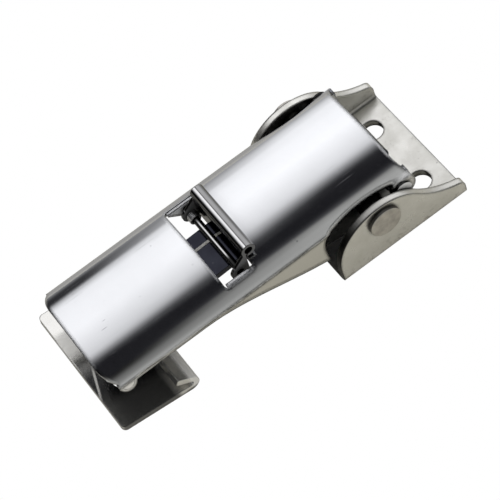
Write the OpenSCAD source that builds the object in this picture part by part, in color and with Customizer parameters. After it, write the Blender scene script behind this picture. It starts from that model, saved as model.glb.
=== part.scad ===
// Concealed draw latch with a spring safety catch, shown closed on its keeper.
// Millimetres. +X runs toward the hinge end, +Y toward the left side, +Z up.
// The origin is midway between the two base screw holes, on the mounting face.

/* [Base bracket] */
// Width over the two ears
base_w = 50.8; // [44:0.2:60]
// Thickness of the bracket's sheet
base_sheet = 2.5; // [1.5:0.1:3]
// Inner radius of the bend between floor and ear
base_bend = 1; // [0.5:0.1:3]
// Distance from the screw line to the front edge of the floor
floor_front = 38.5; // [37:0.1:40]
// Distance from the screw line to the rear edge of the floor
floor_rear = 8.7; // [7:0.1:14]
// Distance between the two screw holes
hole_spacing = 25.4; // [18:0.1:30]
// Diameter of the screw holes
hole_d = 7.1; // [4:0.1:8]
// Height of the ears
ear_h = 24.9; // [24:0.1:26]
// Distance from the screw line forward to the middle of the ears' round top
ear_setback = 20.9; // [20:0.1:22]
// Angle at which the round top turns into the hollow behind it
ear_turn = 38; // [34:1:46]
// Radius of the hollow behind the round top
ear_hollow_r = 30; // [24:1:40]
// Radius of the ears' rear corner
ear_tail_r = 2.5; // [1:0.1:3.5]

/* [Lever pivot] */
// Distance from the screw line forward to the lever's pivot
pivot_setback = 20.3; // [19:0.1:21.5]
// Height of the lever's pivot
pivot_h = 18.2; // [17.8:0.1:19]
// Diameter of the pivot rivets
rivet_d = 6; // [4:0.1:7]
// Diameter of the rivets' outer heads
rivet_head_d = 11; // [8:0.1:12]
// Thickness of the rivets' outer heads
rivet_head_t = 1.6; // [1:0.1:2.5]
// Chamfer round the rivets' outer heads
rivet_edge = 0.25; // [0.1:0.05:0.5]
// Diameter of the rivets' closed ends inside the lever
rivet_end_d = 8.4; // [7.6:0.1:9]
// Thickness of the rivets' closed ends
rivet_end_t = 1.2; // [0.8:0.1:2]
// Outer diameter of the washers between ear and lever
washer_d = 8.6; // [8:0.1:10]
// Thickness of the washers
washer_t = 3.4; // [3:0.1:3.8]

/* [Lever cover] */
// Height of the lever's top along its middle
lever_top = 28.8; // [28:0.1:30]
// Radius of the top's slight crown
crown_r = 80; // [60:5:200]
// Gap between the ears and the creases at the lever's sides
lever_gap = 1.44; // [1.2:0.02:2]
// Radius of the shoulders
shoulder_r = 12; // [9:0.5:13]
// Thickness of the lever's sheet
lever_sheet = 1.5; // [1:0.1:2]
// Slope of the shoulder, above level, where it turns into the side
crease_slope = 38; // [30:1:44]
// Lean of the sides outward from vertical
side_lean = 15; // [8:1:18]
// Distance from the screw line forward to the lever's nose
nose_reach = 116.9; // [106:0.1:118]
// Radius of the nose's corners, seen from above
nose_corner_r = 11; // [8:0.5:12]
// Distance from the screw line forward to the rear edge of the top
top_setback = 7.8; // [6.5:0.1:9]
// Distance from the nose back to where the sides start to deepen
side_start = 34.3; // [28:0.1:40]
// Height of the sides' lower edge along the front
side_high = 22.4; // [21:0.1:23]
// Height of the sides' lower edge just ahead of the ears
side_low = 14.8; // [12:0.1:17]
// Distance of the round tabs behind the nose
tab_set = 2.5; // [1.5:0.1:3]
// Depth of the round tabs below the sides' lower edge
tab_drop = 2.2; // [1:0.1:4]
// Radius of the tabs
tab_r = 3.1; // [2:0.1:4]
// Height of the sides' upper cut edge beside the ears
cut_h = 24.6; // [24:0.1:25]
// Gap between the ears' front edge and the sides
cut_gap = 1.3; // [1:0.1:3]
// Radius of the cut's front corner
cut_r = 6; // [4:0.5:7]
// Radius of the cut's arched upper edge
cut_arch_r = 70; // [50:5:120]
// Distance that the rear lobes' skin reaches behind the top's rear edge
lobe_reach = 1.9; // [1:0.1:2.5]
// Gap between the ears and the lever's rear lobes
lobe_gap = 1.2; // [1:0.05:1.4]
// Radius of the rear lobes
lobe_r = 4.4; // [4:0.1:4.5]
// Distance of the rear lobes' middle behind the claw's pin
lobe_back = 0.6; // [0:0.1:0.7]

/* [Window] */
// Distance from the nose back to the window's front edge
window_start = 45.5; // [41:0.1:49]
// Length of the window along the lever
window_l = 10.6; // [10:0.1:12]
// Width of the window
window_w = 35; // [33:0.2:36]
// Radius of the window's corners
window_r = 1.2; // [0.3:0.1:2]

/* [Claw] */
// Distance from the lever's pivot back to the claw's pin
pin_back = 10.3; // [9.5:0.1:10.6]
// Height of the claw's pin above the lever's pivot
pin_rise = 2; // [1.5:0.1:2.6]
// Diameter of the claw's pin
claw_pin_d = 5; // [4:0.1:5.4]
// Diameter of the pin's closed ends
claw_pin_end_d = 6; // [5.8:0.1:7]
// Thickness of the pin's closed ends
claw_pin_end_t = 0.8; // [0.4:0.1:0.8]
// Width of the claw
claw_w = 16.8; // [12:0.2:20]
// Thickness of the claw's sheet
claw_sheet = 2; // [1.5:0.1:2.4]
// Downward slope of the shank toward the nose
shank_slope = 3; // [2.8:0.1:3.6]
// Inner radius of the claw's bends
claw_bend = 1.5; // [1:0.1:2.5]
// Length of the hooked tip, from its end to the outside of the front wall
tip_l = 8.6; // [7:0.1:9.5]
// Width of the slot in the shank
slot_w = 1; // [0.6:0.1:2]
// Distance of the slot from the shank's middle
slot_offset = 3.1; // [2.5:0.1:4]
// Length of the slot
slot_l = 26; // [15:1:40]

/* [Keeper] */
// Distance from the screw line forward to the keeper's front edge
keeper_reach = 120.3; // [119:0.1:122]
// Height of the keeper's underside at its front edge
keeper_h = 8.2; // [7:0.1:9]
// Width of the keeper
keeper_w = 50.6; // [40:0.2:56]
// Length of the keeper's flat plate, up to its bend
keeper_l = 24.4; // [23:0.2:25]
// Thickness of the keeper's sheet
keeper_sheet = 2; // [1.5:0.1:2.2]
// Inner radius of the keeper's bend
keeper_bend = 1; // [0.9:0.1:1.4]
// Slope at which the keeper hangs on the claw, front edge up
keeper_slope = 8.8; // [7:0.1:10]
// Angle between the plate and the lip that is folded back over it
lip_angle = 27; // [24:1:34]
// Length of the straight part of the lip
lip_l = 5.8; // [4:0.1:7]
// Radius of the keeper's corners
keeper_corner_r = 1.6; // [0.5:0.1:3]
// Diameter of the keeper's screw holes
keeper_hole_d = 5.2; // [4:0.1:6]
// Distance between the keeper's screw holes
keeper_hole_spacing = 20; // [16:0.5:24]
// Distance from the keeper's front edge to its screw holes
keeper_hole_setback = 8.4; // [6:0.1:9.5]

/* [Safety catch] */
// Outer diameter of the catch's rolled edge
roll_d = 4.8; // [4.2:0.1:5.6]
// Thickness of the catch's sheet
catch_sheet = 1; // [0.8:0.1:1.3]
// Gap between the catch's ends and the lugs at the window's sides
lug_gap = 1.9; // [0.5:0.1:2.5]
// Distance from the window's rear edge back to the middle of the roll
roll_setback = 1.2; // [0.6:0.1:1.3]
// Diameter of the catch's pin
catch_pin_d = 2.4; // [1.6:0.1:2.6]
// Distance from the window's rear edge forward to the catch's pin
catch_pin_fwd = 3.7; // [3.6:0.1:4.2]
// Depth of the catch's pin below the lever's top
catch_pin_depth = 4.6; // [4.2:0.1:4.8]
// Distance of the catch spring inside the catch's left cheek
coil_set = 0.7; // [0.5:0.1:3]
// Radius of the catch's cheeks round their pin
cheek_r = 3; // [2.6:0.1:3.2]
// Height of the catch's lower edge below its pin
catch_drop = 1.6; // [1:0.1:2]
// Diameter of the catch spring's wire
wire_d = 0.7; // [0.5:0.05:0.8]
// Number of turns of the catch spring
spring_turns = 4; // [3:1:5]

/* [Clearances] */
// Running clearance round each pin, on the radius
run_gap = 0.05; // [0.02:0.01:0.1]
// Side clearance between neighbouring faces
side_gap = 0.15; // [0.1:0.01:0.3]
// Distance of the claw's tip ahead of the middle of the keeper's bend
hook_gap = 1.2; // [1:0.1:1.6]
// Clearance between the roll and the lever's top
roll_gap = 0.2; // [0.1:0.05:0.4]

/* [Hidden] */
$fn = 96;

// Past every face that a cut has to clear
past = 1;
// Overlap that joins a sheet's straight parts to its bends
lap = 0.02;
satin = [0.64, 0.64, 0.60];
polished = [0.80, 0.81, 0.83];
dark_polish = [0.42, 0.43, 0.46];

// Ears: middle of the round top, and of the hollow behind it
ear_r = floor_front - ear_setback;
ear_c = [-ear_setback, ear_h - ear_r];
turn_p = ear_c + ear_r * [cos(ear_turn), sin(ear_turn)];
hollow_c = ear_c + (ear_r + ear_hollow_r) * [cos(ear_turn), sin(ear_turn)];
ear_inner = base_w / 2 - base_sheet;
tail_x = floor_rear - ear_tail_r;
tail_c = [
    tail_x,
    hollow_c[1] - sqrt(pow(ear_hollow_r + ear_tail_r, 2) - pow(hollow_c[0] - tail_x, 2))
];
tail_p = tail_c + ear_tail_r * (hollow_c - tail_c) / norm(hollow_c - tail_c);

// Lever: pivot, claw pin and section
pivot = [-pivot_setback, pivot_h];
claw_c = pivot + [pin_back, pin_rise];
shoulder_y = ear_inner - lever_gap - shoulder_r * cos(crease_slope);
lever_w = 2 * (shoulder_y + shoulder_r);
shoulder_c = [
    shoulder_y,
    lever_top - crown_r + sqrt(pow(crown_r - shoulder_r, 2) - pow(shoulder_y, 2))
];
crown_end = shoulder_y * crown_r / (crown_r - shoulder_r);
crown_side_h = shoulder_c[1] + shoulder_r * 0.93;
crease = shoulder_c + shoulder_r * [cos(crease_slope), sin(crease_slope)];
nose_x = -nose_reach;
nose_low = crease[1] + 0.6 * lever_sheet;
tab_x = nose_x + tab_set;
cut_x = -floor_front - cut_gap;
wing_out = ear_inner - washer_t - 2 * side_gap;
wing_in = wing_out - lever_sheet;
wing_front_x = cut_x - 2 * lever_sheet;
lobe_c = claw_c + [lobe_back, 0];
lobe_out = ear_inner - lobe_gap;
lobe_in = lobe_out - lever_sheet;
skin_rear_x = lobe_reach - top_setback;

// Window and catch
window_rear_x = nose_x + window_start + window_l;
catch_c = [window_rear_x - catch_pin_fwd, lever_top - catch_pin_depth];
roll_c = [window_rear_x + roll_setback, lever_top + roll_gap + roll_d / 2];
cheek_hole_r = catch_pin_d / 2 + run_gap;
lug_in = window_w / 2 - lever_sheet;
lug_out = window_w / 2 + lever_sheet / 4;
pin_out = window_w / 2 - lever_sheet / 4;
catch_w = 2 * (lug_in - lug_gap);
cheek_in = catch_w / 2 - catch_sheet;
plate_top = roll_c + (roll_d - catch_sheet) / 2 * [-cos(20), sin(20)];
coil_r = catch_pin_d / 2 + 2 * run_gap + wire_d / 2;
plate_low = [
    catch_c[0] + coil_r + wire_d / 2 + side_gap + catch_sheet / 2,
    catch_c[1] - catch_drop
];
coil_y = cheek_in - coil_set;
coil_step = wire_d * 0.85;
coil_low_y = coil_y - (spring_turns - 1) * coil_step;

// Claw and keeper
eye_in = claw_pin_d / 2 + run_gap;
eye_out = eye_in + claw_sheet;
shank_dir = [-cos(shank_slope), -sin(shank_slope)];
shank_up = [-sin(shank_slope), cos(shank_slope)];
shank_p = claw_c + (eye_out - claw_sheet / 2) * shank_up;
keeper_back = [cos(keeper_slope), -sin(keeper_slope)];
keeper_up = [sin(keeper_slope), cos(keeper_slope)];
keeper_p = [-keeper_reach, keeper_h];
tip_level = keeper_sheet + side_gap + claw_sheet / 2;
tip_end = keeper_p + (keeper_l - hook_gap) * keeper_back + tip_level * keeper_up;
tip_corner = tip_end - (tip_l - claw_sheet / 2) * keeper_back;
shank_end = shank_p + (shank_p[0] - tip_corner[0]) * [-1, -tan(shank_slope)];

function unit(v) = v / norm(v);
function left_of(v) = [-v[1], v[0]];
function way(p, i) = unit(p[i + 1] - p[i]);
function bend_at(p, i) = atan2(cross(way(p, i - 1), way(p, i)), way(p, i - 1) * way(p, i));
function trim_at(p, i, r) = (i == 0 || i == len(p) - 1) ? 0 : r * tan(abs(bend_at(p, i)) / 2);
function bend_c(p, i, r) = p[i] - trim_at(p, i, r) * way(p, i - 1)
    + sign(bend_at(p, i)) * r * left_of(way(p, i - 1));

module folded_sheet(p, r, t) {
    // Side view of a sheet of thickness t whose middle follows p, bent on r
    for (i = [0 : len(p) - 2]) {
        a = p[i] + (trim_at(p, i, r) - lap) * way(p, i);
        b = p[i + 1] - (trim_at(p, i + 1, r) - lap) * way(p, i);
        n = left_of(way(p, i)) * t / 2;
        polygon([a - n, b - n, b + n, a + n]);
    }
    for (i = [1 : len(p) - 2]) {
        c = bend_c(p, i, r);
        a = (p[i] - trim_at(p, i, r) * way(p, i - 1) - c) / r;
        b = (p[i] + trim_at(p, i, r) * way(p, i) - c) / r;
        far = 3 * (r + t);
        difference() {
            intersection() {
                translate(c) circle(r + t / 2);
                polygon([c, c + far * a, c + far * unit(a + b), c + far * b]);
            }
            translate(c) circle(r - t / 2);
        }
    }
}

module slab(y0, y1) {
    // Turns a side view, X across and Z up, into a slab from y0 to y1
    translate([0, y1, 0]) rotate([90, 0, 0]) linear_extrude(y1 - y0) children();
}

module bar(p, d, y0, y1) {
    translate([p[0], y1, p[1]]) rotate([90, 0, 0]) cylinder(d = d, h = y1 - y0);
}

module both_sides() {
    children();
    mirror([0, 1, 0]) children();
}

module ear_outline() {
    // Straight front, round top, hollow back and round tail
    translate(ear_c) circle(ear_r);
    polygon([[-floor_front, 0], [ear_c[0], 0], ear_c, [-floor_front, ear_c[1]]]);
    difference() {
        polygon([
            ear_c, [ear_c[0], 0], [floor_rear, 0], [floor_rear, tail_c[1]],
            tail_c, tail_p, [tail_p[0], turn_p[1]], turn_p
        ]);
        translate(hollow_c) circle(ear_hollow_r);
    }
    translate(tail_c) circle(ear_tail_r);
}

module base_bracket() {
    color(satin) difference() {
        intersection() {
            translate([-floor_front, 0, 0]) rotate([90, 0, 90])
                linear_extrude(floor_front + floor_rear) difference() {
                    r = base_bend + base_sheet;
                    union() {
                        translate([-base_w / 2, r]) square([base_w, ear_h]);
                        translate([-base_w / 2 + r, 0]) square([base_w - 2 * r, ear_h]);
                        translate([-base_w / 2 + r, r]) circle(r);
                        translate([base_w / 2 - r, r]) circle(r);
                    }
                    translate([-ear_inner, base_sheet + base_bend]) square([2 * ear_inner, ear_h]);
                    translate([base_bend - ear_inner, base_sheet])
                        square([2 * (ear_inner - base_bend), ear_h]);
                    translate([base_bend - ear_inner, base_sheet + base_bend]) circle(base_bend);
                    translate([ear_inner - base_bend, base_sheet + base_bend]) circle(base_bend);
                }
            slab(-base_w, base_w) ear_outline();
        }
        for (s = [-1, 1]) translate([0, s * hole_spacing / 2, -past])
            cylinder(d = hole_d, h = base_sheet + 2 * past);
        bar(pivot, rivet_d, -base_w, base_w);
    }
}

module pivot_rivet() {
    // Head outside the ear, closed end inside the lever
    color(satin) {
        bar(pivot, rivet_d, wing_in - rivet_end_t, base_w / 2 + rivet_head_t / 2);
        bar(pivot, rivet_end_d, wing_in - rivet_end_t - side_gap, wing_in - side_gap);
        difference() {
            bar(pivot, rivet_head_d, base_w / 2, base_w / 2 + rivet_head_t);
            translate([pivot[0], base_w / 2 + rivet_head_t - rivet_edge, pivot[1]])
                rotate([-90, 0, 0]) rotate_extrude() translate([rivet_head_d / 2, 0])
                    polygon([
                        [-rivet_edge, rivet_edge], [lap, -lap], [past, -lap],
                        [past, past], [-rivet_edge, past]
                    ]);
        }
    }
}

module pivot_washer() {
    color(satin) difference() {
        bar(pivot, washer_d, wing_out + side_gap, ear_inner - side_gap);
        bar(pivot, rivet_d + 2 * run_gap, wing_out, ear_inner);
    }
}

module lever_section(off) {
    // End view of the cover's outside, or of its inside at off = sheet
    side_top = crease[0] - (lever_top - off - crease[1]) * tan(side_lean) - off / cos(side_lean);
    side_bottom = crease[0] + (crease[1] + past) * tan(side_lean) - off / cos(side_lean);
    for (m = [0, 1]) mirror([m, 0]) intersection() {
        polygon([
            [-past, lever_top - off], [side_top, lever_top - off],
            [side_bottom, -past], [-past, -past]
        ]);
        translate([0, lever_top - crown_r]) circle(crown_r - off, $fn = 720);
        union() {
            translate(shoulder_c) circle(shoulder_r - off);
            polygon([
                [-past, -past], [crown_end, -past], shoulder_c,
                [crown_end, lever_top], [-past, lever_top]
            ]);
            translate([-past, -past]) square([lever_w, shoulder_c[1] + past]);
        }
    }
}

module side_view() {
    // What is left of the folded cover, seen from the side
    n = 14;
    run = cut_x - nose_x - side_start;
    drop = side_high - side_low;
    lower = [
        for (i = [0 : n]) let (k = i / n)
            [nose_x + side_start + k * run, side_high - drop * k * k * (2.2 - 1.2 * k)]
    ];
    arch_c = [(cut_x + skin_rear_x) / 2, cut_h - cut_arch_r];
    corner = [
        cut_x + cut_r,
        arch_c[1] + sqrt(pow(cut_arch_r - cut_r, 2) - pow(cut_x + cut_r - arch_c[0], 2))
    ];
    corner_p = arch_c + cut_arch_r * (corner - arch_c) / norm(corner - arch_c);
    difference() {
        union() {
            polygon(concat(
                [
                    [-top_setback, lever_top + past], [nose_x, lever_top + past],
                    [nose_x, nose_low], [tab_x, nose_low], [tab_x, side_high]
                ],
                lower,
                [
                    [cut_x, corner[1]], [skin_rear_x, corner[1]],
                    [skin_rear_x, crease[1]], [-top_setback, crown_side_h]
                ]
            ));
            translate([tab_x, side_high - tab_drop + tab_r])
                square([2 * tab_r, nose_low - side_high + tab_drop - tab_r]);
            translate([tab_x + tab_r, side_high - tab_drop + tab_r]) circle(tab_r);
        }
        intersection() {
            translate(arch_c) circle(cut_arch_r, $fn = 720);
            polygon([
                corner - [lap, 0], corner_p - [lap, 0], [corner_p[0], lever_top],
                [past, lever_top], [past, corner[1] - past], [corner[0] - lap, corner[1] - past]
            ]);
        }
        intersection() {
            translate(corner) circle(cut_r);
            polygon([
                corner, [cut_x - past, corner[1]], [cut_x - past, lever_top], corner_p
            ]);
        }
    }
    translate([lobe_c[0], crease[1] - lever_sheet / 2])
        square([skin_rear_x - lobe_c[0], cut_h - crease[1] + lever_sheet / 2]);
}

module lobe_outline() {
    translate(lobe_c) circle(lobe_r);
    polygon([
        lobe_c, lobe_c + [lobe_r, 0], [skin_rear_x, crease[1]],
        [skin_rear_x, cut_h], [lobe_c[0], cut_h]
    ]);
}

module wing_outline() {
    // Inner side plate, from ahead of the ears back to the claw's pin
    polygon([
        [wing_front_x, lever_top], [-top_setback, lever_top], [claw_c[0] + lobe_r, claw_c[1]],
        [claw_c[0] + lobe_r * 0.7, pivot_h - lobe_r * 0.9], [pivot[0], pivot_h - lobe_r * 1.3],
        [wing_front_x + 4, side_low + 0.6], [wing_front_x, side_low + 2.2]
    ]);
    translate([claw_c[0], pivot_h - 0.14 * lobe_r]) circle(lobe_r);
    translate(claw_c) circle(lobe_r);
}

module lug_outline() {
    // Edge of the window, folded down and rounded round the catch's pin
    front = nose_x + window_start + window_r / 2;
    difference() {
        union() {
            translate(catch_c) circle(cheek_r);
            polygon([
                [front, lever_top], [front, catch_c[1] + 0.5 * cheek_r],
                catch_c + cheek_r * [-0.7, -0.714], catch_c + cheek_r * [0.8, -0.6],
                [window_rear_x + lever_sheet, catch_c[1] + 0.3 * cheek_r],
                [window_rear_x + lever_sheet, lever_top]
            ]);
        }
        translate(catch_c) circle(catch_pin_d / 2 + run_gap);
    }
}

module lug_closed() {
    lug_outline();
    translate(catch_c) circle(catch_pin_d);
}

module lever_cover() {
    color(polished) difference() {
        union() {
            intersection() {
                translate([nose_x, 0, 0]) rotate([90, 0, 90]) linear_extrude(nose_reach) difference() {
                    lever_section(0);
                    lever_section(lever_sheet);
                }
                slab(-lever_w, lever_w) side_view();
            }
            intersection() {
                // Side plates and the steps that join them to the sides
                translate([nose_x, 0, 0]) rotate([90, 0, 90])
                    linear_extrude(nose_reach + lobe_r + past) lever_section(lever_sheet / 2);
                union() {
                    both_sides() slab(wing_in, wing_out) wing_outline();
                    both_sides() translate([cut_x - lever_sheet, wing_in, side_low])
                        cube([lever_sheet, lever_w, cut_h - side_low]);
                }
                translate([nose_x, -lever_w, 0]) cube([nose_reach + lobe_r, 2 * lever_w, lever_top]);
            }
            intersection() {
                translate([nose_x, 0, 0]) rotate([90, 0, 90])
                    linear_extrude(nose_reach + lobe_r) lever_section(0);
                both_sides() slab(lobe_in, lobe_out) lobe_outline();
            }
        }
        translate([nose_x + window_start, -window_w / 2, crease[1]]) {
            translate([window_r, 0, 0]) cube([window_l - 2 * window_r, window_w, lever_top]);
            translate([0, window_r, 0]) cube([window_l, window_w - 2 * window_r, lever_top]);
            for (x = [window_r, window_l - window_r], y = [window_r, window_w - window_r])
                translate([x, y, 0]) cylinder(r = window_r, h = lever_top);
        }
        both_sides() translate([nose_x + nose_corner_r, lever_w / 2 - nose_corner_r, nose_low])
            difference() {
                translate([-nose_corner_r - past, 0, 0])
                    cube([nose_corner_r + past, nose_corner_r + past, lever_top]);
                translate([0, 0, -past]) cylinder(r = nose_corner_r, h = lever_top + 2 * past);
            }
        both_sides() bar(pivot, rivet_d + 2 * run_gap, wing_in - past, wing_out + past);
        both_sides() bar(claw_c, claw_pin_d, wing_in - past, lobe_out + past);
    }
    color(polished) both_sides() intersection() {
        union() {
            slab(lug_in, pin_out) lug_outline();
            slab(pin_out, lug_out) lug_closed();
        }
        translate([nose_x, 0, 0]) rotate([90, 0, 90]) linear_extrude(nose_reach)
            lever_section(lever_sheet / 5);
    }
}

module claw_pin() {
    color(satin) {
        bar(claw_c, claw_pin_d, -lobe_out, lobe_out);
        both_sides() bar(claw_c, claw_pin_end_d, lobe_out, lobe_out + claw_pin_end_t);
    }
}

module claw_spacer() {
    color(satin) difference() {
        bar(claw_c, claw_pin_end_d, claw_w / 2 + side_gap, wing_in - side_gap);
        bar(claw_c, claw_pin_d + 2 * run_gap, claw_w / 2, wing_in);
    }
}

module claw() {
    r = claw_bend + claw_sheet / 2;
    color(dark_polish) difference() {
        union() {
            slab(-claw_w / 2, claw_w / 2)
                folded_sheet([shank_p, shank_end, tip_corner, tip_end], r, claw_sheet);
            bar(claw_c, 2 * eye_out, -claw_w / 2, claw_w / 2);
        }
        bar(claw_c, 2 * eye_in, -claw_w, claw_w);
        translate([catch_c[0] - slot_l / 2, slot_offset - slot_w / 2, claw_c[1] - eye_out])
            cube([slot_l, slot_w, 2 * eye_out]);
    }
}

module keeper() {
    r = keeper_bend + keeper_sheet / 2;
    fold = 180 - lip_angle;
    vertex = [keeper_l + r * tan(fold / 2), keeper_sheet / 2];
    lip_end = vertex + (r * tan(fold / 2) + lip_l) * [cos(fold), sin(fold)];
    color(dark_polish) translate([keeper_p[0], 0, keeper_p[1]]) rotate([0, keeper_slope, 0])
        difference() {
            slab(-keeper_w / 2, keeper_w / 2)
                folded_sheet([[0, keeper_sheet / 2], vertex, lip_end], r, keeper_sheet);
            for (s = [-1, 1]) {
                translate([keeper_hole_setback, s * keeper_hole_spacing / 2, -past])
                    cylinder(d = keeper_hole_d, h = keeper_sheet + 2 * past);
                translate([0, s * (keeper_w / 2 - keeper_corner_r), -past]) difference() {
                    translate([-past, s > 0 ? 0 : -keeper_corner_r - past, 0])
                        cube([keeper_corner_r + past, keeper_corner_r + past, keeper_sheet + 2 * past]);
                    translate([keeper_corner_r, 0, -past])
                        cylinder(r = keeper_corner_r, h = keeper_sheet + 4 * past);
                }
            }
        }
}

module safety_catch() {
    color(dark_polish) difference() {
        union() {
            slab(-catch_w / 2, catch_w / 2) {
                difference() {
                    translate(roll_c) circle(roll_d / 2);
                    translate(roll_c) circle(roll_d / 2 - catch_sheet);
                    // Slit where the rolled edge ends
                    translate(roll_c) rotate(-130) square([roll_d, catch_sheet / 2]);
                }
                folded_sheet([plate_top, plate_low], 1, catch_sheet);
            }
            both_sides() slab(cheek_in, catch_w / 2) {
                translate(catch_c) circle(cheek_r);
                polygon([
                    catch_c + cheek_r * [-0.8, 0.6], plate_top + [0, -roll_d / 3],
                    plate_low, catch_c + cheek_r * [0.6, -0.8]
                ]);
            }
        }
        both_sides() bar(catch_c, 2 * cheek_hole_r, cheek_in - past, catch_w);
    }
}

module catch_pin() {
    color(satin) bar(catch_c, catch_pin_d, -pin_out, pin_out);
}

module catch_spring() {
    color(satin) {
        for (i = [0 : spring_turns - 1])
            translate([catch_c[0], coil_y - i * coil_step, catch_c[1]]) rotate([90, 0, 0])
                rotate_extrude() translate([coil_r, 0]) circle(wire_d / 2, $fn = 16);
        translate([catch_c[0] + coil_r, coil_y, catch_c[1]])
            cylinder(d = wire_d, h = wire_d, $fn = 16);
    }
}

base_bracket();
pivot_rivet();  // pivot_rivet_left
mirror([0, 1, 0]) pivot_rivet();  // pivot_rivet_right
pivot_washer();  // pivot_washer_left
mirror([0, 1, 0]) pivot_washer();  // pivot_washer_right
lever_cover();
claw_pin();
claw_spacer();  // claw_spacer_left
mirror([0, 1, 0]) claw_spacer();  // claw_spacer_right
claw();
keeper();
safety_catch();
catch_pin();
catch_spring();
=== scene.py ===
import math
from functools import reduce

import bpy
from mathutils import Matrix, Vector

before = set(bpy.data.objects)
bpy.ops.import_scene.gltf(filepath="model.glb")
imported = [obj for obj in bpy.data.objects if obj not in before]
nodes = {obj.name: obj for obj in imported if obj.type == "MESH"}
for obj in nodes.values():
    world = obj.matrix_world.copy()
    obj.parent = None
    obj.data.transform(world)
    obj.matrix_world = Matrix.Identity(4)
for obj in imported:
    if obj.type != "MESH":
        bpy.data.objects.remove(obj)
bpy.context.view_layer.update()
bpy.ops.object.select_all(action="DESELECT")

# Lengths are in metres and places are those at rest, in the CAD's frame: X runs from the nose
# (-0.12) to the hinge (0), Y from the near side (-0.027) to the far side, and Z upward from the
# base. A pair of numbers named for a place or a direction is where a soft change starts and
# where it ends. With two more, they are its levels there. Three numbers are a band: its low end,
# its high end and how soft both are.


def colour(red, green=None, blue=None):
    """An opaque colour, or a grey if only one number is given."""
    return (red, red, red, 1.0) if green is None else (red, green, blue, 1.0)


# Camera: the photograph's own angle, from above the nose end on the near side.
CAMERA_RIGHT = Vector((0.7992, -0.5563, -0.2277))
CAMERA_UP = Vector((0.5874, 0.6421, 0.4927))
CAMERA_BACK = Vector((-0.1279, -0.5275, 0.8399))
CAMERA_PLACE = (-0.1424, -0.3577, 0.5781)
CAMERA_NEAREST = 0.05
SENSOR_WIDTH_MM = 36.0
FOCAL_LENGTH_PIXELS = 2200.0
PHOTO_WIDTH_PIXELS = 500.0


def add_camera():
    data = bpy.data.cameras.new("photo_camera")
    data.sensor_fit = "HORIZONTAL"
    data.sensor_width = SENSOR_WIDTH_MM
    data.lens = SENSOR_WIDTH_MM * FOCAL_LENGTH_PIXELS / PHOTO_WIDTH_PIXELS
    data.clip_start = CAMERA_NEAREST
    camera = bpy.data.objects.new("photo_camera", data)
    bpy.context.scene.collection.objects.link(camera)
    turn = Matrix((CAMERA_RIGHT, CAMERA_UP, CAMERA_BACK)).transposed().to_4x4()
    camera.matrix_world = Matrix.Translation(CAMERA_PLACE) @ turn
    bpy.context.scene.camera = camera


add_camera()


# Small helpers for wiring node trees. Each returns the output that holds its result.
def feed(tree, socket, value):
    """Link an input to another node's output, or set it to a plain value."""
    if isinstance(value, bpy.types.NodeSocket):
        tree.links.new(value, socket)
    else:
        socket.default_value = value


def math_node(tree, operation, *values, clamp=False):
    node = tree.nodes.new("ShaderNodeMath")
    node.operation = operation
    node.use_clamp = clamp
    for socket, value in zip(node.inputs, values):
        feed(tree, socket, value)
    return node.outputs[0]


def product(tree, *values):
    return reduce(lambda a, b: math_node(tree, "MULTIPLY", a, b), values)


def total(tree, *values):
    return reduce(lambda a, b: math_node(tree, "ADD", a, b), values)


def greatest(tree, *values):
    return reduce(lambda a, b: math_node(tree, "MAXIMUM", a, b), values)


def distance_from(tree, value, middle):
    return math_node(tree, "ABSOLUTE", math_node(tree, "SUBTRACT", value, middle))


def map_range(tree, value, start, end, first_level, last_level, smooth=True):
    node = tree.nodes.new("ShaderNodeMapRange")
    node.interpolation_type = "SMOOTHSTEP" if smooth else "LINEAR"
    for label, entry in (("Value", value), ("From Min", start), ("From Max", end),
                         ("To Min", first_level), ("To Max", last_level)):
        feed(tree, node.inputs[label], entry)
    return node.outputs["Result"]


def rise(tree, value, start, end, level=1.0):
    """Nothing up to start, then smoothly up to the level at end."""
    return map_range(tree, value, start, end, 0.0, level)


def fall(tree, value, start, end, level=1.0):
    """The level up to start, then smoothly down to nothing at end."""
    return map_range(tree, value, start, end, level, 0.0)


def band(tree, value, low, high, soft, level=1.0):
    """The level between low and high, with soft ends, and nothing outside."""
    return product(tree, rise(tree, value, low - soft, low + soft, level),
                   fall(tree, value, high - soft, high + soft))


def mix_colour(tree, share, first, second):
    node = tree.nodes.new("ShaderNodeMix")
    node.data_type = "RGBA"
    # A Mix node has sockets for each type of data: these three are the ones for colours
    for number, value in ((0, share), (6, first), (7, second)):
        feed(tree, node.inputs[number], value)
    return node.outputs[2]


def darkened(tree, tint, share):
    node = tree.nodes.new("ShaderNodeVectorMath")
    node.operation = "SCALE"
    feed(tree, node.inputs[0], tint)
    feed(tree, node.inputs["Scale"], share)
    return node.outputs[0]


def noise(tree, vector, scale, detail=3.0, roughness=0.5):
    node = tree.nodes.new("ShaderNodeTexNoise")
    for label, value in (("Vector", vector), ("Scale", scale), ("Detail", detail),
                         ("Roughness", roughness)):
        feed(tree, node.inputs[label], value)
    return node.outputs["Fac"]


def stretched(tree, vector, scale):
    node = tree.nodes.new("ShaderNodeMapping")
    node.inputs["Scale"].default_value = scale
    tree.links.new(vector, node.inputs["Vector"])
    return node.outputs["Vector"]


def axes(tree, vector):
    """The three parts of a vector, as outputs named X, Y and Z."""
    split = tree.nodes.new("ShaderNodeSeparateXYZ")
    tree.links.new(vector, split.inputs[0])
    return split.outputs


def facing(tree):
    """The direction that a flat face looks in, as outputs named X, Y and Z."""
    geometry = tree.nodes.new("ShaderNodeNewGeometry")
    return axes(tree, geometry.outputs["True Normal"])


def sideways(tree):
    """1 on faces that look straight to the near or the far side, 0 on those that lie across."""
    return math_node(tree, "ABSOLUTE", facing(tree)["Y"])


# The share of a spot's half size that is full before it fades
SPOT_CORE = 0.55


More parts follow.
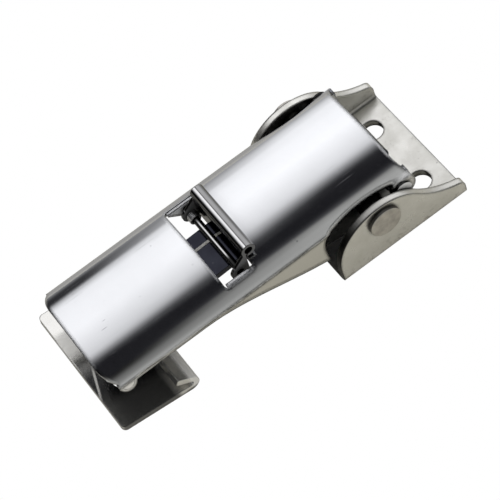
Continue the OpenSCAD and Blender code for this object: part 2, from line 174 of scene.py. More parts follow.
def mark_at(tree, place, centre, size):
    """A small soft spot or scratch at one place."""
    offset = tree.nodes.new("ShaderNodeVectorMath")
    offset.operation = "SUBTRACT"
    tree.links.new(place, offset.inputs[0])
    offset.inputs[1].default_value = centre
    spread = stretched(tree, offset.outputs[0], tuple(1.0 / extent for extent in size))
    length = tree.nodes.new("ShaderNodeVectorMath")
    length.operation = "LENGTH"
    tree.links.new(spread, length.inputs[0])
    return fall(tree, length.outputs["Value"], SPOT_CORE, 1.0)


# Effects that several finishes share. Each is a node group, built once.
NUMBER, VECTOR = "NodeSocketFloat", "NodeSocketVector"


def new_group(name, inputs, outputs):
    tree = bpy.data.node_groups.new(name, "ShaderNodeTree")
    for label, kind, value in inputs:
        socket = tree.interface.new_socket(label, in_out="INPUT", socket_type=kind)
        if value is not None:
            socket.default_value = value
    for label, kind in outputs:
        tree.interface.new_socket(label, in_out="OUTPUT", socket_type=kind)
    given = tree.nodes.new("NodeGroupInput").outputs
    result = tree.nodes.new("NodeGroupOutput").inputs
    return tree, given, result


def add_group(tree, group, **values):
    node = tree.nodes.new("ShaderNodeGroup")
    node.node_tree = group
    for label, value in values.items():
        feed(tree, node.inputs[label], value)
    return node.outputs


# Fine hair scratches left by polishing, along the sheet and more faintly across it, in patches.
ALONG_THE_SHEET = (60.0, 2600.0, 2600.0)
ACROSS_THE_SHEET = (2100.0, 90.0, 500.0)
SCRATCHED_PATCHES = 90.0
LINES_ALONG = (0.62, 0.75)
LINES_ACROSS = (0.66, 0.78)
PATCH_LEVELS = (0.42, 0.7, 0.1, 1.0)


def make_hair_scratches():
    tree, given, result = new_group(
        "hair_scratches",
        [("Vector", VECTOR, None), ("Amount", NUMBER, 0.3)],
        [("Mask", NUMBER), ("Height", NUMBER)],
    )
    along = noise(tree, stretched(tree, given["Vector"], ALONG_THE_SHEET), 1.0, detail=2.0)
    across = noise(tree, stretched(tree, given["Vector"], ACROSS_THE_SHEET), 1.0, detail=2.0)
    lines = greatest(tree, rise(tree, along, *LINES_ALONG),
                     rise(tree, across, *LINES_ACROSS, level=0.8))
    patches = map_range(tree, noise(tree, given["Vector"], SCRATCHED_PATCHES, detail=2.0),
                        *PATCH_LEVELS)
    mask = product(tree, lines, patches, given["Amount"])
    tree.links.new(mask, result["Mask"])
    tree.links.new(product(tree, mask, -1.0), result["Height"])
    return tree


# Cloudiness and small specks from handling and tumbling.
CLOUD_DETAIL, CLOUD_ROUGHNESS = 5.0, 0.62
CLOUD_RANGE = (0.32, 0.72)
SPECK_CELLS = 210.0
SPECK_SIZE = (0.03, 0.07)
SPECKLED_PATCHES = 35.0
SPECKLED_SHARE = (0.56, 0.62)


def make_handling_marks():
    tree, given, result = new_group(
        "handling_marks",
        [("Vector", VECTOR, None), ("Scale", NUMBER, 120.0)],
        [("Cloud", NUMBER), ("Specks", NUMBER)],
    )
    cloud = noise(tree, given["Vector"], given["Scale"], CLOUD_DETAIL, CLOUD_ROUGHNESS)
    cells = tree.nodes.new("ShaderNodeTexVoronoi")
    cells.feature = "F1"
    cells.inputs["Scale"].default_value = SPECK_CELLS
    tree.links.new(given["Vector"], cells.inputs["Vector"])
    dots = fall(tree, cells.outputs["Distance"], *SPECK_SIZE)
    patches = rise(tree, noise(tree, given["Vector"], SPECKLED_PATCHES, detail=1.0),
                   *SPECKLED_SHARE)
    tree.links.new(rise(tree, cloud, *CLOUD_RANGE), result["Cloud"])
    tree.links.new(product(tree, dots, patches), result["Specks"])
    return tree


# The grain that tumbling leaves on a satin face.
GRAIN_DETAIL, GRAIN_SHARPNESS = 2.0, 0.7


def make_satin_grain():
    tree, given, result = new_group(
        "satin_grain",
        [("Vector", VECTOR, None), ("Scale", NUMBER, 1800.0)],
        [("Fleck", NUMBER)],
    )
    fleck = noise(tree, given["Vector"], given["Scale"], GRAIN_DETAIL, GRAIN_SHARPNESS)
    tree.links.new(fleck, result["Fleck"])
    return tree


# Sheet edges look softly rounded, with a fine painted dark line along them: painted shade and dark
# reflection on the rounding. A lip is a second painted dark line, just inside the rounding. The
# turn is the cosine of the angle between the flat face and its rounded look: 1 on a flat face, and
# least at the very edge.
EDGE_TURN = (0.80, 0.985)
EDGE_TURN_BY_LIP = 0.05  # how far a full lip narrows the first line
LIP_STARTS = (0.980, 0.988)
LIP_ENDS = (0.9965, 0.9992)
SOFT_SAMPLES = 8


def make_rounded_edges_and_painted_lines():
    tree, given, result = new_group(
        "rounded_edges_and_painted_lines",
        [("Radius", NUMBER, 0.0003), ("Outline", NUMBER, 0.5), ("Lip", NUMBER, 0.0)],
        [("Line", NUMBER), ("Normal", VECTOR)],
    )
    soft_edge = tree.nodes.new("ShaderNodeBevel")
    soft_edge.samples = SOFT_SAMPLES
    tree.links.new(given["Radius"], soft_edge.inputs["Radius"])
    flat = tree.nodes.new("ShaderNodeNewGeometry")
    turn = tree.nodes.new("ShaderNodeVectorMath")
    turn.operation = "DOT_PRODUCT"
    tree.links.new(soft_edge.outputs["Normal"], turn.inputs[0])
    tree.links.new(flat.outputs["Normal"], turn.inputs[1])
    turn = turn.outputs["Value"]
    sharpest, flattest = EDGE_TURN
    line_end = math_node(tree, "SUBTRACT", flattest,
                         product(tree, given["Lip"], EDGE_TURN_BY_LIP))
    line = fall(tree, turn, sharpest, line_end, level=given["Outline"])
    lip = product(tree, rise(tree, turn, *LIP_STARTS, level=given["Lip"]),
                  fall(tree, turn, *LIP_ENDS))
    tree.links.new(greatest(tree, line, lip), result["Line"])
    tree.links.new(soft_edge.outputs["Normal"], result["Normal"])
    return tree


# Painted shade: faces that look into a narrow space get their colour darkened, but keep never less
# than Least of it.
NARROW_SHARE = (0.30, 0.90)


def make_painted_narrow_shade():
    tree, given, result = new_group(
        "painted_narrow_shade",
        [("Reach", NUMBER, 0.006), ("Depth", NUMBER, 0.15), ("Least", NUMBER, 0.0)],
        [("Open", NUMBER)],
    )
    hidden = tree.nodes.new("ShaderNodeAmbientOcclusion")
    hidden.samples = SOFT_SAMPLES
    tree.links.new(given["Reach"], hidden.inputs["Distance"])
    share = map_range(tree, hidden.outputs["AO"], *NARROW_SHARE, given["Depth"], 1.0)
    tree.links.new(greatest(tree, share, given["Least"]), result["Open"])
    return tree


# A face that kept the dull look of the raw or folded sheet: rougher, and less of a mirror.
RAW_ROUGHNESS = 0.40
RAW_METALLIC = 0.1


def make_raw_faces():
    tree, given, result = new_group(
        "raw_faces",
        [("Raw", NUMBER, 0.0), ("Roughness", NUMBER, 0.2)],
        [("Roughness", NUMBER), ("Metallic", NUMBER)],
    )
    rougher = total(tree, given["Roughness"], product(tree, given["Raw"], RAW_ROUGHNESS))
    metallic = map_range(tree, given["Raw"], 0.0, 1.0, 1.0, RAW_METALLIC, smooth=False)
    tree.links.new(rougher, result["Roughness"])
    tree.links.new(metallic, result["Metallic"])
    return tree


hair_scratches = make_hair_scratches()
handling_marks = make_handling_marks()
satin_grain = make_satin_grain()
rounded_edges_and_painted_lines = make_rounded_edges_and_painted_lines()
painted_narrow_shade = make_painted_narrow_shade()
raw_faces = make_raw_faces()

# The first colour is that of the painted dark lines along edges, painted shade and reflection
EDGE_SHADE_LINE_COLOUR = colour(0.05, 0.05, 0.045)
SPECK_COLOUR = colour(0.12, 0.12, 0.13)
SPECK_STRENGTH = 0.45
SCRATCH_ROUGHNESS = 0.25
GRAIN_ROUGHNESS = 0.12
BUMP_STRENGTH = 0.06
BUMP_HEIGHT = 0.0002


def steel(name, bright, dull, roughness, cloudiness, marks_scale, scratches, edge_radius=0.0003,
          edge_shade_line=0.5, lip=0.0, reach=0.006, depth=0.15, grain_scale=0.0, grain_height=0.0,
          tint_of=None, raw_of=None, least_of=None):
    """Bare stainless steel: its colour and roughness vary with marks, scratches and grain, and its
    colour also carries painted dark edge lines and painted shade in narrow places.

    tint_of, raw_of and least_of are functions of a piece's places: the first changes its colour,
    often with painted light and shade, the second marks its raw faces, and the third keeps the
    painted shade of narrow places lighter.
    """
    material = bpy.data.materials.new(name)
    material.use_nodes = True
    tree = material.node_tree
    shader = tree.nodes["Principled BSDF"].inputs
    shader["Metallic"].default_value = 1.0
    place = tree.nodes.new("ShaderNodeTexCoord").outputs["Object"]
    marks = add_group(tree, handling_marks, Vector=place, Scale=marks_scale)
    lines = add_group(tree, hair_scratches, Vector=place, Amount=scratches)
    edges = add_group(tree, rounded_edges_and_painted_lines, Radius=edge_radius, Outline=edge_shade_line, Lip=lip)
    narrow_shade = add_group(tree, painted_narrow_shade, Reach=reach, Depth=depth,
                     Least=least_of(tree, place) if least_of else 0.0)

    tint = mix_colour(tree, marks["Cloud"], bright, dull)
    tint = mix_colour(tree, product(tree, marks["Specks"], SPECK_STRENGTH), tint, SPECK_COLOUR)
    if tint_of:
        tint = tint_of(tree, place, tint)
    # Painted shade and dark reflection: the dark lines along rounded edges
    tint = mix_colour(tree, edges["Line"], tint, EDGE_SHADE_LINE_COLOUR)
    # The colour is darkened by the painted shade of narrow places
    tree.links.new(darkened(tree, tint, narrow_shade["Open"]), shader["Base Color"])

    rough = total(tree, product(tree, marks["Cloud"], cloudiness), roughness,
                  product(tree, lines["Mask"], SCRATCH_ROUGHNESS))
    height = lines["Height"]
    if grain_scale:
        grain = add_group(tree, satin_grain, Vector=place, Scale=grain_scale)
        rough = total(tree, rough, product(tree, grain["Fleck"], GRAIN_ROUGHNESS))
        height = total(tree, height, product(tree, grain["Fleck"], grain_height))
    if raw_of:
        raw = add_group(tree, raw_faces, Raw=raw_of(tree, place), Roughness=rough)
        rough = raw["Roughness"]
        tree.links.new(raw["Metallic"], shader["Metallic"])
    tree.links.new(rough, shader["Roughness"])

    bump = tree.nodes.new("ShaderNodeBump")
    bump.inputs["Strength"].default_value = BUMP_STRENGTH
    bump.inputs["Distance"].default_value = BUMP_HEIGHT
    tree.links.new(height, bump.inputs["Height"])
    tree.links.new(edges["Normal"], bump.inputs["Normal"])
    tree.links.new(bump.outputs["Normal"], shader["Normal"])
    return material


SIDE_FACE = (0.6, 0.8)
# Painted shade for sheared edges that face away from the light
SHADED_EDGE_COLOUR = colour(0.10)

# The lever cover: its far shoulder, its sides, the crease above them and its rear end, where
# painted reflection and shade lie.
FAR_SHOULDER = (0.0172, 0.0192)
FAR_SHOULDER_REFLECTION_COLOUR = colour(0.66, 0.675, 0.76)
NEAR_SIDE = (-0.0206, -0.0203)
FAR_SIDE = (0.0203, 0.0206)
BELOW_CREASE = (0.0228, 0.0238)
NEAR_SIDE_REFLECTION_COLOUR = colour(0.76, 0.745, 0.70)
FAR_SIDE_SHADE_COLOUR = colour(0.47, 0.475, 0.50)
CREASE_HEIGHT = 0.02345
CREASE_LINE = (0.00006, 0.00022)
CREASE_WAVER_SCALE, CREASE_WAVER = 160.0, 0.0007
CREASE_BREAKS_SCALE, CREASE_BREAKS = 260.0, (0.40, 0.58)
CREASE_SHADE_COLOUR = colour(0.10, 0.10, 0.09)
CREASE_STRENGTH = 0.75
COVER_REAR = (-0.02, -0.01)
COVER_REAR_FACE = (0.6, 0.8)
# Two short scratches and three specks near the nose: centre and half size
COVER_MARKS = (
    ((-0.1072, -0.0046, 0.0287), (0.0013, 0.00022, 0.001)),
    ((-0.1058, -0.0022, 0.0287), (0.0007, 0.00018, 0.001)),
    ((-0.1110, -0.0152, 0.0272), (0.0003, 0.0003, 0.001)),
    ((-0.0890, -0.0130, 0.0277), (0.0003, 0.0003, 0.001)),
    ((-0.0930, -0.0030, 0.0288), (0.0002, 0.0002, 0.001)),
)
COVER_MARK_COLOUR = colour(0.35, 0.35, 0.38)
COVER_MARK_STRENGTH = 0.45


def cover_tint(tree, place, tint):
    """Below the crease the sides take other tones as painted reflection and shade: a warm grey on
    the near side, darker and bluer on the far side and the far shoulder. The crease is a fine
    broken line of painted shade, and the rear sheared edge gets painted shade.
    """
    where = axes(tree, place)
    near = fall(tree, where["Y"], *NEAR_SIDE)
    far = rise(tree, where["Y"], *FAR_SIDE)
    waver = product(tree, noise(tree, place, CREASE_WAVER_SCALE), CREASE_WAVER)
    height = total(tree, where["Z"], waver)
    low = fall(tree, height, *BELOW_CREASE)
    # Painted reflection and shade: the far shoulder and the two sides below the crease
    tint = mix_colour(tree, rise(tree, where["Y"], *FAR_SHOULDER), tint, FAR_SHOULDER_REFLECTION_COLOUR)
    tint = mix_colour(tree, product(tree, low, far), tint, FAR_SIDE_SHADE_COLOUR)
    tint = mix_colour(tree, product(tree, low, near), tint, NEAR_SIDE_REFLECTION_COLOUR)
    # Painted shade: a fine broken dark line along the crease on the near side
    broken = rise(tree, noise(tree, place, CREASE_BREAKS_SCALE), *CREASE_BREAKS)
    crease = fall(tree, distance_from(tree, height, CREASE_HEIGHT), *CREASE_LINE)
    tint = mix_colour(tree, product(tree, crease, broken, near, CREASE_STRENGTH), tint,
                      CREASE_SHADE_COLOUR)
    # Painted shade on the rear sheared edge
    rear = product(tree, rise(tree, facing(tree)["X"], *COVER_REAR_FACE, level=0.85),
                   rise(tree, where["X"], *COVER_REAR))
    tint = mix_colour(tree, rear, tint, SHADED_EDGE_COLOUR)
    for centre, size in COVER_MARKS:
        mark = product(tree, mark_at(tree, place, centre, size), COVER_MARK_STRENGTH)
        tint = mix_colour(tree, mark, tint, COVER_MARK_COLOUR)
    return tint


# Where the nose half ends and where the rear lobes start
NOSE_HALF = (-0.052, -0.042)
REAR_LOBES = (-0.014, -0.006)
COVER_LEAST = 0.85


def cover_least(tree, place):
    """The painted shade stays light on the nose half and the rear lobes, and darkens only the part
    between.
    """
    where = axes(tree, place)
    return greatest(tree, fall(tree, where["X"], *NOSE_HALF, level=COVER_LEAST),
                    rise(tree, where["X"], *REAR_LOBES, level=COVER_LEAST))


# Bands for the window's length and width, then where the tabs and the lobes start
WINDOW_LENGTH = (-0.085, -0.052, 0.001)
WINDOW_WIDTH = (-0.0175, 0.0175, 0.0003)
NOSE_TABS = (-0.103, -0.098)
BELOW_NOSE_SIDES = (0.0225, 0.0232)
LOBE_START = (-0.0120, -0.0070)


def cover_raw(tree, place):
    """The window's lugs, the nose tabs and the rear lobes keep the dull face of the sheet."""
    where = axes(tree, place)
    lugs = product(tree, band(tree, where["X"], *WINDOW_LENGTH),
                   band(tree, where["Y"], *WINDOW_WIDTH))
    tabs = product(tree, fall(tree, where["X"], *NOSE_TABS),
                   fall(tree, where["Z"], *BELOW_NOSE_SIDES))
    lobes = rise(tree, where["X"], *LOBE_START, level=0.7)
    return product(tree, greatest(tree, lugs, tabs, lobes), rise(tree, sideways(tree), *SIDE_FACE))


# The base bracket: its ears, their sheared edges, which get painted shade, and the floor between
# them.
NEAR_EAR = (-0.0229, -0.0226)
FAR_EAR = (0.014, 0.016)
FLOOR_SHEET = (0.003, 0.005)
EAR_FACE = (0.3, 0.6)
LOOKS_TO_NOSE = (-0.7, -0.6)
EDGE_SHADE_LEVELS = (-0.85, 0.50, 0.04, 0.88)
EAR_FOOT = (0.003, 0.010)
STAIN_NOISE, STAIN_SHARE = (230.0, 6.0, 0.72), (0.60, 0.74)
FOOT_NOISE, FOOT_SHARE = (420.0, 4.0, 0.7), (0.50, 0.66)
STAIN_COLOUR = colour(0.42, 0.40, 0.36)


def bracket_tint(tree, place, tint):
    """Sheared edges get painted shade, darker the more they face the nose, and the faces keep a
    few stains.
    """
    where = axes(tree, place)
    along = facing(tree)["X"]
    to_side = sideways(tree)
    # On the far ear, only the edge near the floor gets painted shade
    but_far_ear = greatest(tree, fall(tree, where["Z"], *FLOOR_SHEET),
                           fall(tree, where["Y"], *FAR_EAR))
    facing_nose = product(tree, fall(tree, along, *LOOKS_TO_NOSE), but_far_ear)
    edge = product(tree, greatest(tree, fall(tree, where["Y"], *NEAR_EAR), facing_nose),
                   fall(tree, to_side, *EAR_FACE))
    edge_shade_colour = darkened(tree, tint, map_range(tree, along, *EDGE_SHADE_LEVELS))
    dark_patch = rise(tree, noise(tree, place, *STAIN_NOISE), *STAIN_SHARE, level=0.55)
    foot = product(tree, fall(tree, where["Z"], *EAR_FOOT),
                   rise(tree, noise(tree, place, *FOOT_NOISE), *FOOT_SHARE, level=0.5),
                   rise(tree, to_side, *SIDE_FACE))
    tint = mix_colour(tree, greatest(tree, dark_patch, foot), tint, STAIN_COLOUR)
    # Painted shade on the sheared edges, over the real stains
    return mix_colour(tree, edge, tint, edge_shade_colour)


# The rivets' heads
HEAD_SIDE = (0.35, 0.65)
NEAR_HALF = (-0.001, 0.001)
HEAD_SIDE_COLOUR = colour(0.05, 0.05, 0.048)


def rivet_tint(tree, place, tint):
    """The side of the near head is in shade."""
    side = product(tree, fall(tree, sideways(tree), *HEAD_SIDE, level=0.92),
                   fall(tree, axes(tree, place)["Y"], *NEAR_HALF))
    return mix_colour(tree, side, tint, HEAD_SIDE_COLOUR)


# The claw's slot, its walls painted white as painted light
SLOT_MIDDLE = 0.0031
SLOT_HALF_WIDTH = (0.0012, 0.0014)
SLOT_WALL = (0.7, 0.9)


def claw_tint(tree, place, tint):
    """The walls of the slot are painted white, a painted light, against the shank whose steel is
    painted dark as shade.
    """
    slot = distance_from(tree, axes(tree, place)["Y"], SLOT_MIDDLE)
    walls = product(tree, rise(tree, sideways(tree), *SLOT_WALL),
                    fall(tree, slot, *SLOT_HALF_WIDTH))
    # Painted light: the slot walls are white
    return mix_colour(tree, walls, tint, colour(1.0))


# The safety catch, by how far each face looks toward the hinge: bands of painted reflection and
# shade, each with its level.
PLATE_FACES = (0.02, 0.70, 0.04, 0.68)
LINE_OVER_ROLL = (-0.10, 0.03, 0.03, 0.90)
LINE_UNDER_ROLL = (0.72, 0.97, 0.05, 0.90)
CATCH_LOOKS_TO_NOSE = (-0.60, -0.45)
PLATE_SHADE_COLOUR = colour(0.10)
ROLL_REFLECTION_COLOUR = colour(0.07)


def catch_tint(tree, place, tint):
    """The rolled edge is painted with dark reflections that leave a bright line between them, and
    the plate below is painted dark as shade.
    """
    along = facing(tree)["X"]
    # Painted shade on the plate
    tint = mix_colour(tree, band(tree, along, *PLATE_FACES), tint, PLATE_SHADE_COLOUR)
    # Painted dark reflections over, under and in front of the roll
    dark = greatest(tree, band(tree, along, *LINE_OVER_ROLL), band(tree, along, *LINE_UNDER_ROLL),
                    fall(tree, along, *CATCH_LOOKS_TO_NOSE, level=0.93))
    return mix_colour(tree, dark, tint, ROLL_REFLECTION_COLOUR)


# The claw pin and the catch pin: the ridge left bright as a painted highlight, and its length
PIN_RIDGE = (-0.30, 0.0, 0.05)
PIN_RIDGE_LENGTH = (-0.0075, 0.0085, 0.0015)
PIN_REFLECTION_COLOUR = colour(0.03)


def pin_tint(tree, place, tint):
    """The round side is painted dark as painted reflection, but for a ridge left bright as a
    painted highlight; its end faces stay bright too.
    """
    round_side = fall(tree, sideways(tree), *SIDE_FACE)
    ridge = product(tree, band(tree, facing(tree)["X"], *PIN_RIDGE),
                    band(tree, axes(tree, place)["Y"], *PIN_RIDGE_LENGTH))
    dark = math_node(tree, "SUBTRACT", round_side, ridge, clamp=True)
    # Painted reflection: the round side is dark but for the bright ridge
    return mix_colour(tree, dark, tint, PIN_REFLECTION_COLOUR)


# The keeper: a flat plate, a lip folded over at its rear, and a painted dark reflection on the
# flat, crossed by a painted lighter line.
LIP_START = (-0.1010, -0.0985)
LIP_UPPER_SHEET = (0.0050, 0.0060)
KEEPER_SIDE = (0.5, 0.8)
KEEPER_LOOKS_TO_NOSE = (-0.8, -0.6)
DARK_REFLECTION_HALF = (-0.0030, 0.0090)
REFLECTION_WAVER_NOISE, REFLECTION_WAVER = (120.0, 2.0), 0.004
FLAT_END = (-0.1020, -0.0990)
LOOKS_UP = (0.7, 0.9)
NEAR_CORNER = (-0.0180, -0.0100)
REFLECTION_DARK = colour(0.030, 0.030, 0.034)
REFLECTION_GREY = colour(0.10, 0.10, 0.095)
# The painted lighter line crosses the flat at X = slope * Y + start
REFLECTED_LINE_SLOPE = 0.326
REFLECTED_LINE_START = -0.11585
REFLECTED_LINE_WIDTH = (-0.00035, 0.00035, 0.0002)
REFLECTED_LINE_LENGTH = (-0.0120, -0.0020, 0.0030)


def keeper_tint(tree, place, tint):
    """Painted shade darkens the sheared edges, and a painted dark reflection the near half of the
    flat, but for one painted lighter line.
    """
    where = axes(tree, place)
    look = facing(tree)
    lip = product(tree, rise(tree, where["X"], *LIP_START),
                  rise(tree, where["Z"], *LIP_UPPER_SHEET))
    sheared = rise(tree, sideways(tree), *KEEPER_SIDE, level=0.88)
    edges = greatest(tree, math_node(tree, "SUBTRACT", sheared, lip, clamp=True),
                     fall(tree, look["X"], *KEEPER_LOOKS_TO_NOSE, level=0.6))
    # Painted shade on the sheared edges
    tint = mix_colour(tree, edges, tint, SHADED_EDGE_COLOUR)
    # Painted dark reflection on the near half of the flat, paler toward the near corner and broken
    # by one painted lighter line
    waver = product(tree, noise(tree, place, *REFLECTION_WAVER_NOISE), REFLECTION_WAVER)
    dark_patch = product(tree, fall(tree, total(tree, where["Y"], waver), *DARK_REFLECTION_HALF, level=0.95),
                    fall(tree, where["X"], *FLAT_END), rise(tree, look["Z"], *LOOKS_UP))
    course = total(tree, product(tree, where["Y"], REFLECTED_LINE_SLOPE), REFLECTED_LINE_START)
    aside = math_node(tree, "SUBTRACT", where["X"], course)
    reflected_line = product(tree, band(tree, aside, *REFLECTED_LINE_WIDTH),
                    band(tree, where["Y"], *REFLECTED_LINE_LENGTH))
    dark_patch = math_node(tree, "SUBTRACT", dark_patch, reflected_line, clamp=True)
    paler_reflection = fall(tree, where["Y"], *NEAR_CORNER)
    return mix_colour(tree, dark_patch, tint, mix_colour(tree, paler_reflection, REFLECTION_DARK, REFLECTION_GREY))


# How raw the keeper's faces are: its near corner, its far part and its lip
NEAR_CORNER_RAW = (-0.0180, -0.0120, 0.20, 0.06)
FLAT_TO_LIP = (-0.1020, -0.0990, 1.0, 0.3)
FAR_PART_RAW = (0.0060, 0.0150, 0.0030)
LIP_RAW = (-0.0965, -0.0945, 0.06, 0.6)


def keeper_raw(tree, place):
    """The folded lip and the far part of the flat are the dullest, the rest a little dull."""
    where = axes(tree, place)
    near_corner = product(tree, map_range(tree, where["Y"], *NEAR_CORNER_RAW),
                          map_range(tree, where["X"], *FLAT_TO_LIP))
    return greatest(tree, near_corner, band(tree, where["Y"], *FAR_PART_RAW),
                    map_range(tree, where["X"], *LIP_RAW))


def sides_raw(tree, place):
    """Sheared and folded sides of a small piece, against its polished faces."""
    return rise(tree, sideways(tree), *SIDE_FACE, level=0.9)


polished_cover = steel(
    "polished_cover_steel", bright=colour(0.94, 0.95, 0.975), dull=colour(0.91, 0.92, 0.945),
    roughness=0.045, cloudiness=0.03, marks_scale=60.0, scratches=0.25, edge_radius=0.0017,
    edge_shade_line=0.8, lip=0.9, reach=0.04, depth=0.30,
    tint_of=cover_tint, raw_of=cover_raw, least_of=cover_least)
tumbled_bracket = steel(
    "tumbled_bracket_steel", bright=colour(0.96, 0.95, 0.91), dull=colour(0.86, 0.85, 0.80),
    roughness=0.22, cloudiness=0.10, marks_scale=150.0, scratches=0.5, edge_radius=0.0010,
    edge_shade_line=0.75, lip=0.5, reach=0.005, grain_scale=1800.0, grain_height=1.2,
    tint_of=bracket_tint)
# Washers and spacers are painted dark, a painted shade between the parts
inner_steel_painted_shade = steel(
    "inner_part_painted_shade", bright=colour(0.20, 0.20, 0.19), dull=colour(0.12, 0.12, 0.11),
    roughness=0.26, cloudiness=0.10, marks_scale=150.0, scratches=0.5, reach=0.01, depth=0.08)
# The claw's steel is painted nearly black, a painted shade under the cover
polished_claw = steel(
    "claw_steel_painted_dark", bright=colour(0.036, 0.038, 0.050), dull=colour(0.026, 0.027, 0.037),
    roughness=0.09, cloudiness=0.06, marks_scale=110.0, scratches=0.4, edge_shade_line=0.0,
    reach=0.0005, depth=0.9, tint_of=claw_tint, raw_of=sides_raw)
polished_catch = steel(
    "polished_catch_steel", bright=colour(0.92, 0.92, 0.93), dull=colour(0.84, 0.84, 0.85),
    roughness=0.08, cloudiness=0.06, marks_scale=130.0, scratches=0.4, edge_radius=0.0004,
    depth=0.45, tint_of=catch_tint, raw_of=sides_raw)
polished_keeper = steel(
    "polished_keeper_steel", bright=colour(0.95, 0.94, 0.91), dull=colour(0.88, 0.87, 0.84),
    roughness=0.07, cloudiness=0.04, marks_scale=90.0, scratches=0.4, edge_radius=0.0006,
    edge_shade_line=0.2, reach=0.004, depth=0.7, tint_of=keeper_tint, raw_of=keeper_raw)
rivet_steel = steel(
    "rivet_steel", bright=colour(0.72, 0.69, 0.64), dull=colour(0.50, 0.475, 0.44),
    roughness=0.24, cloudiness=0.12, marks_scale=260.0, scratches=0.6, reach=0.002,
    grain_scale=2600.0, grain_height=0.8, tint_of=rivet_tint)
pin_steel = steel(
    "pin_steel", bright=colour(0.92), dull=colour(0.80),
    roughness=0.05, cloudiness=0.05, marks_scale=260.0, scratches=0.3, reach=0.004, depth=0.05,
    tint_of=pin_tint, raw_of=sides_raw)
spring_wire = steel(
    "spring_wire", bright=colour(0.80, 0.80, 0.82), dull=colour(0.65, 0.65, 0.67),
    roughness=0.2, cloudiness=0.10, marks_scale=400.0, scratches=0.4, depth=0.6)

finish_of = {
    "base_bracket": tumbled_bracket,
    "pivot_rivet_left": rivet_steel,
    "pivot_rivet_right": rivet_steel,
    "pivot_washer_left": inner_steel_painted_shade,
    "pivot_washer_right": inner_steel_painted_shade,
    "lever_cover": polished_cover,
    "claw_pin": pin_steel,
    "claw_spacer_left": inner_steel_painted_shade,
    "claw_spacer_right": inner_steel_painted_shade,
    "claw": polished_claw,
    "keeper": polished_keeper,
    "safety_catch": polished_catch,
    "catch_pin": pin_steel,
    "catch_spring": spring_wire,
}
for name, material in finish_of.items():
    mesh = nodes[name].data
    mesh.materials.clear()
    mesh.materials.append(material)


# Studio: a ring of panels round the X axis, bright on the far side and dark overhead, with a
# paler near side. Each pair is degrees and level: -90 is straight down, 0 the far horizon,
# 90 overhead and 180 the near horizon. One ring is for the nose end, the other for the hinge.
NOSE_END_PANELS = (
    (-180, 0.36), (-60, 0.42), (-30, 0.40), (-12, 0.34), (5, 0.15), (14, 0.05), (24, 0.022),
    (33, 0.035), (37, 0.19), (40, 0.90), (46, 0.96), (56, 0.98), (60, 0.90), (64, 0.80),
    (67, 0.74), (71, 0.61), (73.2, 0.24), (74.8, 0.035), (76, 0.012), (113, 0.012),
    (120, 0.017), (126, 0.06), (131, 0.12), (143, 0.21), (157, 0.42), (180, 0.36))
HINGE_END_PANELS = (
    (-180, 0.36), (-60, 0.36), (-30, 0.27), (-12, 0.28), (7, 0.42), (24, 0.72),
    (31, 0.80), (37, 0.90), (42, 1.0), (52, 1.06), (56, 0.97), (60, 0.88), (64, 0.79),
    (67, 0.64), (69.2, 0.32), (71.2, 0.10), (73, 0.020), (75, 0.011), (90, 0.011),
    (98, 0.018), (108, 0.06), (118, 0.27), (130, 0.36), (180, 0.33))
# The near side is a little warmer than the far side
WARM_SIDE_DEGREES = 115
WARM_BLUE = 0.96
COOL_BLUE, COOL_BLUE_MORE = 1.01, 0.002
# By the direction that light comes from: where one ring turns into the other, and how the end
# beyond the nose darkens, but not toward the near side
NOSE_TO_HINGE = (0.06, 0.17)
UNLIT_END = (-0.75, -0.30, 0.10, 1.0)
NEAR_SIDE_LIT = (-0.15, 0.10)
SOFT_LIGHT = 0.9


def add_panels(tree, turn, panels):
    ramp = tree.nodes.new("ShaderNodeValToRGB")
    ramp.color_ramp.interpolation = "LINEAR"
    stops = ramp.color_ramp.elements
    while len(stops) > 1:
        stops.remove(stops[-1])
    stops[0].position = 0.0
    stops[0].color = colour(panels[0][1])
    for degrees, level in panels[1:]:
        stop = stops.new((degrees + 180.0) / 360.0)
        warm = degrees > WARM_SIDE_DEGREES
        blue = level * WARM_BLUE if warm else level * COOL_BLUE + COOL_BLUE_MORE
        stop.color = colour(level, level, blue)
    tree.links.new(turn, ramp.inputs["Fac"])
    return ramp.outputs["Color"]


def background(tree, tint, strength):
    node = tree.nodes.new("ShaderNodeBackground")
    feed(tree, node.inputs["Color"], tint)
    node.inputs["Strength"].default_value = strength
    return node.outputs[0]


def mix_shader(tree, share, first, second):
    node = tree.nodes.new("ShaderNodeMixShader")
    for socket, value in zip(node.inputs, (share, first, second)):
        tree.links.new(value, socket)
    return node.outputs[0]


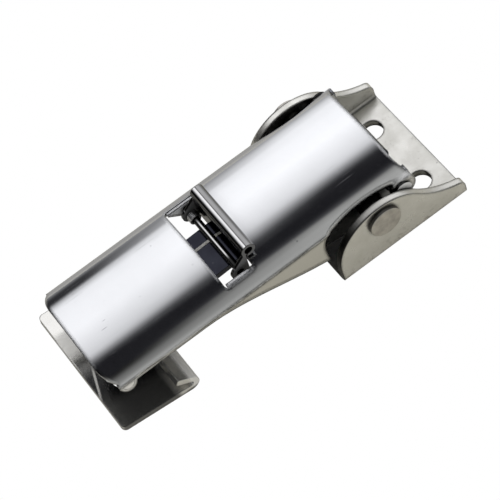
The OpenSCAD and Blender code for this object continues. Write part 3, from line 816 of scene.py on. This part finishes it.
def add_studio():
    """Gloss shows the panels, matt faces get an even light, and the camera sees white."""
    world = bpy.data.worlds.new("studio")
    bpy.context.scene.world = world
    world.use_nodes = True
    tree = world.node_tree
    tree.nodes.clear()
    toward = axes(tree, tree.nodes.new("ShaderNodeTexCoord").outputs["Generated"])
    angle = math_node(tree, "ARCTAN2", toward["Z"], toward["Y"])
    turn = math_node(tree, "DIVIDE", total(tree, angle, math.pi), 2 * math.pi)
    nose_end = add_panels(tree, turn, NOSE_END_PANELS)
    hinge_end = add_panels(tree, turn, HINGE_END_PANELS)
    to_hinge = map_range(tree, toward["X"], *NOSE_TO_HINGE, 0.0, 1.0, smooth=False)
    lit = greatest(tree, map_range(tree, toward["X"], *UNLIT_END),
                   fall(tree, toward["Y"], *NEAR_SIDE_LIT))
    panels = darkened(tree, mix_colour(tree, to_hinge, nose_end, hinge_end), lit)
    rays = tree.nodes.new("ShaderNodeLightPath").outputs
    by_gloss = mix_shader(tree, rays["Is Glossy Ray"], background(tree, colour(1.0), SOFT_LIGHT),
                          background(tree, panels, 1.0))
    by_camera = mix_shader(tree, rays["Is Camera Ray"], by_gloss,
                           background(tree, colour(1.0), 1.0))
    end = tree.nodes.new("ShaderNodeOutputWorld")
    tree.links.new(by_camera, end.inputs["Surface"])


FLOOR_SIZE = 3.0
FLOOR_HEIGHT = -0.0004
FLOOR_COLOUR = colour(0.49, 0.475, 0.42)
FLOOR_ROUGHNESS = 0.9


def add_floor():
    """A pale matt floor just under the base, which the camera sees as white."""
    bpy.ops.mesh.primitive_plane_add(size=FLOOR_SIZE, location=(0.0, 0.0, FLOOR_HEIGHT))
    floor = bpy.context.object
    floor.name = "studio_floor"
    bpy.ops.object.transform_apply(location=True, rotation=True, scale=True)
    material = bpy.data.materials.new("pale_floor")
    material.use_nodes = True
    tree = material.node_tree
    matt = tree.nodes["Principled BSDF"]
    matt.inputs["Base Color"].default_value = FLOOR_COLOUR
    matt.inputs["Roughness"].default_value = FLOOR_ROUGHNESS
    white = tree.nodes.new("ShaderNodeEmission")
    white.inputs["Color"].default_value = colour(1.0)
    white.inputs["Strength"].default_value = 1.0
    rays = tree.nodes.new("ShaderNodeLightPath").outputs
    seen = mix_shader(tree, rays["Is Camera Ray"], matt.outputs[0], white.outputs[0])
    tree.links.new(seen, tree.nodes["Material Output"].inputs["Surface"])
    floor.data.materials.append(material)


add_studio()
add_floor()

bpy.context.scene.view_settings.view_transform = "Standard"
